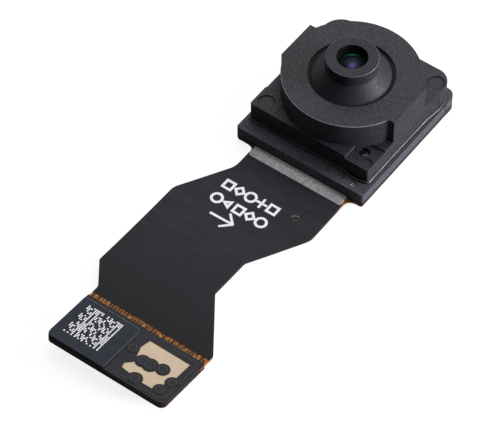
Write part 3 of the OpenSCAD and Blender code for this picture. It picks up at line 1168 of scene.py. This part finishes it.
@dataclass
class Optics:
    """Lens barrel and the stack of elements inside it."""

    barrel: MouldedPlastic = MouldedPlastic(
        "barrel_plastic", (32, 30, 38), roughness=0.5, relief=0.015, contrast=0.6
    )
    elements: int = 5
    # The lens's coloured glints are painted reflections.
    front: CoatedLens = CoatedLens(
        "front_element",
        (30, 38, 47),
        (
            Glint((66, 150, 122), azimuth=126, radius=0.76, across=0.68, along=0.26),
            Glint((100, 102, 178), azimuth=-54, radius=0.3, across=0.3, along=0.3),
        ),
    )
    # A light grey for the bar round the nose's edge: a painted highlight.
    edge: MouldedPlastic = MouldedPlastic("nose_edge_highlight", (96, 94, 102), relief=0.004, contrast=0.3)
    # Near black and hardly glossy: a light trap's matt coat, and painted shade in the mouth.
    trap: MouldedPlastic = MouldedPlastic("light_trap_shade", (5, 5, 6), roughness=0.8, gloss=0.05)
    # Radius and height of the lining's lower and upper ends.
    trap_span: tuple[Point, Point] = ((0.806, 5.412), (0.941, 5.688))
    trap_wall: float = 0.003
    edge_r: float = 0.022
    # Radius and height of the painted highlight round the nose's edge.
    nose_edge_highlight: Point = (1.59, 5.665)

    def dress(self) -> None:
        """Finishes the barrel, its glue and the stack."""
        paint(self.barrel, "lens_barrel")
        paint(Glue("barrel_glue", ((10, 10, 11), (16, 16, 17)), roughness=0.6), "barrel_glue")
        paint(self.front, "lens_element_1")
        paint(
            CoatedGlass("inner_elements", (120, 124, 150), (110, 90, 255), reflection=0.2),
            *(f"lens_element_{number}" for number in range(2, self.elements + 1)),
        )
        spacer = MouldedPlastic("spacer_black", (14, 14, 15), roughness=0.6, contrast=0.15)
        paint(spacer, "lens_spacers", "lens_retaining_ring")
        paint(CoatedGlass("filter_glass", (120, 150, 165), (120, 170, 255)), "infrared_filter")
        paint(Glue("filter_glue", ((150, 150, 146), (176, 176, 172)), clearness=0.3), "filter_glue")

    def build_light_trap(self) -> None:
        """Builds the matt near-black lining of the mouth in front of the first lens, partly painted shade.
        """
        (low_r, low), (high_r, high) = self.trap_span
        bm = bmesh.new()
        ends = {"radius1": low_r, "radius2": high_r, "depth": high - low}
        bmesh.ops.create_cone(bm, segments=FINE_SIDES, **ends)
        bmesh.ops.translate(bm, verts=bm.verts, vec=(0, 0, (low + high) / 2))
        bmesh.ops.solidify(bm, geom=bm.faces[:], thickness=-self.trap_wall)
        piece_from(bm, "light_trap_shade", self.trap, Vector, smooth=True)

    def build_nose_edge(self) -> None:
        """Builds a light round bar on the edge round the top of the nose, a painted highlight."""
        bm = bmesh.new()
        add_arc(bm, *self.nose_edge_highlight, self.edge_r, 0, FULL_TURN)
        piece_from(bm, "nose_edge_highlight", self.edge, Vector, smooth=True)


# How far a mark's corners stand out, against half its height.
MARK_REACH = 1.05
SQUARE_REACH = 1.3


class Mark(Enum):
    """Plain shapes of the print on the tail, by their number of sides."""

    RING = 28
    DIAMOND = 4
    TRIANGLE = 3
    # Negative, because a second member of value 4 would only be another name of the diamond.
    SQUARE = -4
    CROSS = 0

    def draw(self, bm: bmesh.types.BMesh, centre: Point, size: float, width: float) -> None:
        """Draws the shape.

        Args:
            bm: the shape that it is added to.
            centre: its centre.
            size: its height.
            width: width of its line.
        """
        if self is Mark.CROSS:
            reach = (size - width) / 2
            for across, along in ((reach, 0.0), (0.0, reach)):
                start = centre[0] - across, centre[1] - along
                end = centre[0] + across, centre[1] + along
                add_stroke(bm, start, end, width)
            return
        turn = {Mark.SQUARE: 45.0, Mark.TRIANGLE: 90.0}.get(self, 0.0)
        radius = size / 2 * (SQUARE_REACH if self is Mark.SQUARE else MARK_REACH)
        add_outline(bm, centre, radius, abs(self.value), width, turn)


@dataclass
class Tail:
    """Cover films, bared copper, the relief bead and the white print."""

    shape: TailShape = TailShape()
    film_top: float = 0.15
    ink: Ink = Ink("white_ink", (250, 251, 255), (226, 229, 238))
    ink_height: float = 0.006
    line_width: float = 0.17
    mark_size: float = 0.8
    # Y of each row, X of its first mark, and its marks.
    rows: tuple[tuple[float, float, tuple[Mark, ...]], ...] = (
        (-8.65, -2.7, (Mark.SQUARE, Mark.DIAMOND, Mark.RING, Mark.CROSS, Mark.SQUARE)),
        (-9.85, -2.7, (Mark.RING, Mark.TRIANGLE, Mark.SQUARE, Mark.DIAMOND, Mark.RING)),
    )
    mark_step: float = 0.8
    arrow: tuple[Point, Point] = ((-2.3, -10.99), (-0.74, -10.96))
    arrow_head: float = 0.55
    # Painted shade round the hole in the film, and a painted highlight on its back edge.
    rim: Laminate = Laminate("hole_rim_shade", ((4, 4, 5), (8, 8, 10)), roughness=0.8)
    rim_highlight: Laminate = Laminate("hole_edge_highlight", ((84, 82, 92), (104, 102, 112)), roughness=0.5)
    hole: Point = (2.0, -8.48)
    rim_r: float = 0.31
    rim_width: float = 0.12
    highlight_width: float = 0.07
    highlight_azimuth: float = 125.0

    def dress(self) -> None:
        """Finishes the tail's solids."""
        # The second colour is painted shade, to which the film darkens towards the end board.
        film = CoverFilm("cover_film", (37, 36, 43), (13, 12, 18))
        paint(film, "tail_film_top", "tail_film_bottom")
        paint(BareCopper("bare_copper", (40, 21, 12), (214, 150, 80)), "window_traces")
        # Both colours are lighter than the glue's own grey as painted light, and its middle is a painted
        # highlight.
        paint(DrawnGlue("relief_glue", (184, 182, 188), (240, 238, 242)), "strain_relief_bead")

    def build_print(self) -> None:
        """Builds the rows of plain marks and the arrow below them."""
        bm = bmesh.new()
        for y, start, marks in self.rows:
            for i, mark in enumerate(marks):
                mark.draw(bm, (start + i * self.mark_step, y), self.mark_size, self.line_width)
        tail, tip = self.arrow
        add_stroke(bm, tail, tip, self.line_width)
        for side in (-1, 1):
            wing = tip[0] - self.arrow_head, tip[1] + side * self.arrow_head
            add_stroke(bm, tip, wing, self.line_width)
        raise_faces(bm, self.ink_height)
        piece_from(bm, "tail_print", self.ink, self.shape.on_bend(self.film_top))

    def build_hole_rim(self) -> None:
        """Builds the dark ring round the hole in the film: painted shade of a pressed dimple."""
        bm = bmesh.new()
        add_outline(bm, self.hole, self.rim_r, RIM_SIDES, self.rim_width)
        raise_faces(bm, self.ink_height)
        piece_from(bm, "hole_rim_shade", self.rim, self.shape.on_bend(self.film_top))

    def build_hole_edge(self) -> None:
        """Builds the light back edge of the ring, without its nearer part: a painted highlight."""
        bm = bmesh.new()
        add_outline(bm, self.hole, self.rim_r, RIM_SIDES, self.highlight_width)
        back = direction(self.highlight_azimuth) * self.rim_r / 2
        centre = Vector((*self.hole, 0)) + back
        near = [face for face in bm.faces if (face.calc_center_median() - centre).dot(back) < 0]
        bmesh.ops.delete(bm, geom=near, context="FACES")
        raise_faces(bm, 2 * self.ink_height)
        piece_from(bm, "hole_edge_highlight", self.rim_highlight, self.shape.on_bend(self.film_top))


@dataclass
class PlugBoard:
    """Board at the tail's end with its plate, pad and plug."""

    shape: TailShape = TailShape()
    board_top: float = 0.25
    plate_top: float = 0.34
    ink: Ink = Ink("plate_ink", (250, 250, 250), (226, 230, 234))
    ink_height: float = 0.005
    dots: int = 20
    dot_pitch: float = 0.124
    dot_radius: float = 0.054
    dot_corner: Point = (-3.36, -3.5)
    # A place of the field is filled when its scattered number, counted round this
    # cycle, is below the share.
    dot_cycle: int = 13
    dot_share: int = 6
    mask: Laminate = Laminate("board_mask", ((22, 20, 26), (33, 30, 38)), roughness=0.42, gloss=0.2)
    # Lighter than the board's mask: a painted highlight on the raised rings and line.
    ring: Laminate = Laminate("via_mask_highlight", ((28, 26, 30), (46, 44, 48)), roughness=0.3, gloss=0.35)
    # Lighter than the plate's paint: a painted highlight along its edge.
    rim: Laminate = Laminate("plate_rim_highlight", ((62, 72, 78), (92, 102, 108)), roughness=0.4, gloss=0.3)
    rim_line: tuple[Point, ...] = (
        (-3.9, -0.73),
        (-0.22, -0.73),
        (-0.05, -0.8),
        (0.02, -0.98),
        (0.02, -4.27),
    )
    rim_width: float = 0.035
    border: tuple[Point, ...] = (
        (0.4, -4.1),
        (3.8, -4.1),
        (4.05, -3.85),
        (4.05, -0.75),
        (2.6, -0.72),
    )
    border_width: float = 0.06
    border_lift: float = 0.008
    trace_height: float = 0.012
    # X, Y and outer radius of each ring.
    vias: tuple[Triple, ...] = (
        (0.42, -2.03, 0.26),
        (1.44, -2.46, 0.28),
        (1.95, -2.44, 0.3),
        (2.71, -2.26, 0.27),
        (1.88, -3.77, 0.28),
        (3.72, -2.72, 0.26),
        (3.46, -3.55, 0.26),
    )
    via_width: float = 0.05
    via_lift: float = 0.02

    def dress(self) -> None:
        """Finishes the board's solids."""
        paint(self.mask, "plug_board_top")
        laminate = Laminate("board_laminate", ((20, 16, 14), (62, 44, 32)), roughness=0.5, gloss=0.1)
        paint(laminate, "plug_board_bottom")
        paint(PaintedPlate("plate_paint", ((29, 33, 42), (39, 43, 53))), "marking_plate")
        pad = Metal("pad_gold", (176, 158, 138), roughness=0.5, relief=0.008, tarnish=0.05)
        paint(pad, "ground_pad")
        paint(MouldedPlastic("plug_plastic", (22, 22, 24), roughness=0.4), "plug_housing")
        contact = Metal("contact_gold", (232, 188, 104), roughness=0.25)
        paint(contact, "plug_contacts", "plug_hold_downs")

    def has_dot(self, column: int, row: int) -> bool:
        """Says by formula whether a place of the dot field is filled.

        Args:
            column: place across the field.
            row: place along the field.

        Returns:
            True for a dot.
        """
        scattered = 7 * column + 11 * row + 3 * column * row + column * column * row
        return scattered % self.dot_cycle < self.dot_share

    def build_dots(self) -> None:
        """Builds the field of white dots on the plate."""
        bm = bmesh.new()
        x, y = self.dot_corner
        for column in range(self.dots):
            for row in range(self.dots):
                if self.has_dot(column, row):
                    centre = x + column * self.dot_pitch, y + row * self.dot_pitch
                    add_disc(bm, centre, self.dot_radius, DOT_SIDES)
        raise_faces(bm, self.ink_height)
        piece_from(bm, "plate_dots", self.ink, self.shape.on_board(self.plate_top))

    def build_border(self) -> None:
        """Builds the raised line of the ground trace under the mask, lighter as a painted highlight."""
        bm = bmesh.new()
        add_line(bm, self.border, self.border_width)
        raise_faces(bm, self.trace_height)
        place = self.shape.on_board(self.board_top + self.border_lift)
        piece_from(bm, "border_line", self.ring, place)

    def build_plate_rim(self) -> None:
        """Builds the lighter line along the plate's edge: a painted highlight."""
        bm = bmesh.new()
        add_line(bm, self.rim_line, self.rim_width)
        raise_faces(bm, self.ink_height)
        piece_from(bm, "plate_rim_highlight", self.rim, self.shape.on_board(self.plate_top))

    def build_via_rings(self) -> None:
        """Builds the raised rings of the vias under the mask, lighter as a painted highlight."""
        bm = bmesh.new()
        for x, y, radius in self.vias:
            add_outline(bm, (x, y), radius, VIA_SIDES, self.via_width)
        raise_faces(bm, self.trace_height)
        place = self.shape.on_board(self.board_top + self.via_lift)
        piece_from(bm, "via_rings", self.ring, place)


# ---- Studio -----------------------------------------------------------------


def stage_square(
    name: str, half: float, place: Matrix, material: bpy.types.Material
) -> bpy.types.Object:
    """Adds a flat square to the studio.

    Args:
        name: its name.
        half: half its side, in metres.
        place: where it lies.
        material: its material.

    Returns:
        The square, with its place in its mesh.
    """
    bm = bmesh.new()
    bmesh.ops.create_grid(bm, x_segments=1, y_segments=1, size=half, matrix=place)
    mesh = mesh_from(bm, name)
    mesh.materials.append(material)
    return add_object(name, mesh)


@dataclass(frozen=True)
class Stand(ABC):
    """One thing that faces the middle of the object, its distance and size in metres."""

    name: str
    azimuth: float
    elevation: float
    distance: float
    size: float

    def facing(self, middle: Vector) -> Matrix:
        """Gives the place at which it faces a point.

        Args:
            middle: the point.

        Returns:
            The place.
        """
        away = direction(self.azimuth, self.elevation)
        turn = away.to_track_quat("Z", "Y").to_matrix().to_4x4()
        return Matrix.Translation(middle + away * self.distance) @ turn

    @abstractmethod
    def build(self, middle: Vector) -> None:
        """Adds it to the studio, facing the middle."""


@dataclass(frozen=True)
class Softbox(Stand):
    """One square area lamp."""

    power: float

    def build(self, middle: Vector) -> None:
        """Places the lamp.

        Args:
            middle: the point that it faces.
        """
        lamp = bpy.data.lights.new(self.name, "AREA")
        lamp.size = self.size
        lamp.energy = self.power
        add_object(self.name, lamp).matrix_world = self.facing(middle)
        log.info("%s: lamp of %.2f W", self.name, self.power)


@dataclass(frozen=True)
class Flag(Stand):
    """One black card that keeps the light of the room off the object."""

    def build(self, middle: Vector) -> None:
        """Places the card.

        Args:
            middle: the point that it faces.
        """
        black = Laminate("black_card", ((6, 6, 6), (9, 9, 9)), roughness=0.95, grain=40)
        card = stage_square(self.name, self.size / 2, self.facing(middle), black.build())
        card.visible_camera = False
        log.info("%s: card of %.2f m", self.name, self.size)


@dataclass
class Studio:
    """White floor, soft lamps, black cards and the camera.

    Of its own lengths, only the floor's half side is in metres.
    """

    azimuth: float = 36.17
    elevation: float = 51.15
    distance: float = 181.1
    offset: Point = (-6.04, -6.09)
    lens: float = 215.6
    floor_half: float = 3.0
    floor_drop: float = 0.02
    floor_glow: float = 0.85
    floor_grain: float = 4.0
    floor_tones: tuple[Rgb, Rgb] = ((147, 147, 147), (150, 150, 150))
    world_level: float = 0.35
    lamps: tuple[Softbox, ...] = (
        Softbox("back_left_softbox", 126, 52, distance=0.45, size=0.4, power=0.22),
        Softbox("right_softbox", 23, 10, distance=0.4, size=0.12, power=3.2),
        Softbox("top_softbox", 75, 74, distance=0.45, size=0.42, power=0.6),
    )
    flags: tuple[Flag, ...] = (
        Flag("front_flag", -62, 40, distance=0.32, size=0.5),
        Flag("left_flag", 222, 28, distance=0.3, size=0.4),
    )

    def build(self) -> None:
        """Builds the world, the floor, the lamps and the camera."""
        low, high = (Vector(corner) for corner in CAD_BOX)
        middle = (low + high) / 2
        for stand in (*self.lamps, *self.flags):
            stand.build(middle)
        self.build_world()
        self.build_floor()
        self.build_camera()

    def build_world(self) -> None:
        """Makes the world white to the eye and softer as a light."""
        world = bpy.data.worlds.new("studio")
        world.use_nodes = True
        tree = world.node_tree
        background = tree.nodes["Background"]
        seen = self.seen_by(tree, "Is Camera Ray", "Is Glossy Ray", "Is Transmission Ray")
        level = tree.nodes.new("ShaderNodeMapRange")
        level.inputs["To Min"].default_value = self.world_level
        tree.links.new(seen, level.inputs["Value"])
        tree.links.new(level.outputs["Result"], background.inputs["Strength"])
        background.inputs["Color"].default_value = WHITE
        bpy.context.scene.world = world

    @staticmethod
    def seen_by(tree: bpy.types.NodeTree, first: str, *others: str) -> Socket:
        """Gives 1 for some kinds of ray and 0 for the rest.

        Args:
            tree: the node tree that the nodes are added to.
            first: output of the light path that tells one kind of ray.
            others: the outputs for the other kinds.

        Returns:
            The factor.
        """
        path = tree.nodes.new("ShaderNodeLightPath")
        total = path.outputs[first]
        for name in others:
            either = tree.nodes.new("ShaderNodeMath")
            either.operation = "MAXIMUM"
            tree.links.new(total, either.inputs[0])
            tree.links.new(path.outputs[name], either.inputs[1])
            total = either.outputs[0]
        return total

    def build_floor(self) -> None:
        """Lays the white floor, which keeps the object's soft shadow.

        Its paper glows for the eye alone, so that it is white and throws little light back.
        """
        graph = Graph("floor_paper", Roughness=0.9, Emission_Color=WHITE)
        seen = self.seen_by(graph.tree, "Is Camera Ray", "Is Transmission Ray")
        dull, pale = (linear(tone) for tone in self.floor_tones)
        graph.set(
            Base_Color=graph.shades(graph.noise(self.floor_grain), dull, pale),
            Emission_Strength=graph.scaled(seen, To_Max=self.floor_glow),
        )
        place = Matrix.Translation((0, 0, -self.floor_drop * MM))
        floor = stage_square("floor", self.floor_half, place, graph.material)

    def build_camera(self) -> None:
        """Places the camera and makes it the scene's own."""
        right = direction(self.azimuth)
        back = direction(self.azimuth - 90, self.elevation)
        up = back.cross(right)
        across, along = self.offset
        camera = bpy.data.cameras.new("camera")
        camera.sensor_fit = "HORIZONTAL"
        camera.sensor_width = 36.0
        camera.lens = self.lens
        camera.clip_start = 0.01
        camera.clip_end = 20.0
        stand = add_object("camera", camera)
        stand.location = (across * right + along * up + self.distance * back) * MM
        stand.rotation_euler = Matrix((right, up, back)).transposed().to_euler()
        bpy.context.scene.camera = stand


def main() -> None:
    """Builds the studio and dresses each sub-assembly in turn."""
    logging.basicConfig(level=logging.INFO, format="%(name)s: %(message)s")
    bpy.context.scene.view_settings.view_transform = "Standard"
    Studio().build()
    head = Head()
    head.dress()
    head.build_seams()
    holder = Holder()
    holder.dress()
    holder.build_witness_lines()
    holder.build_pin_rings()
    holder.build_glue_bead()
    holder.build_vent_drop()
    holder.build_deck_edge()
    optics = Optics()
    optics.dress()
    optics.build_light_trap()
    optics.build_nose_edge()
    tail = Tail()
    tail.dress()
    tail.build_print()
    tail.build_hole_rim()
    tail.build_hole_edge()
    board = PlugBoard()
    board.dress()
    board.build_dots()
    board.build_plate_rim()
    board.build_border()
    board.build_via_rings()


if __name__ == "__main__":
    main()
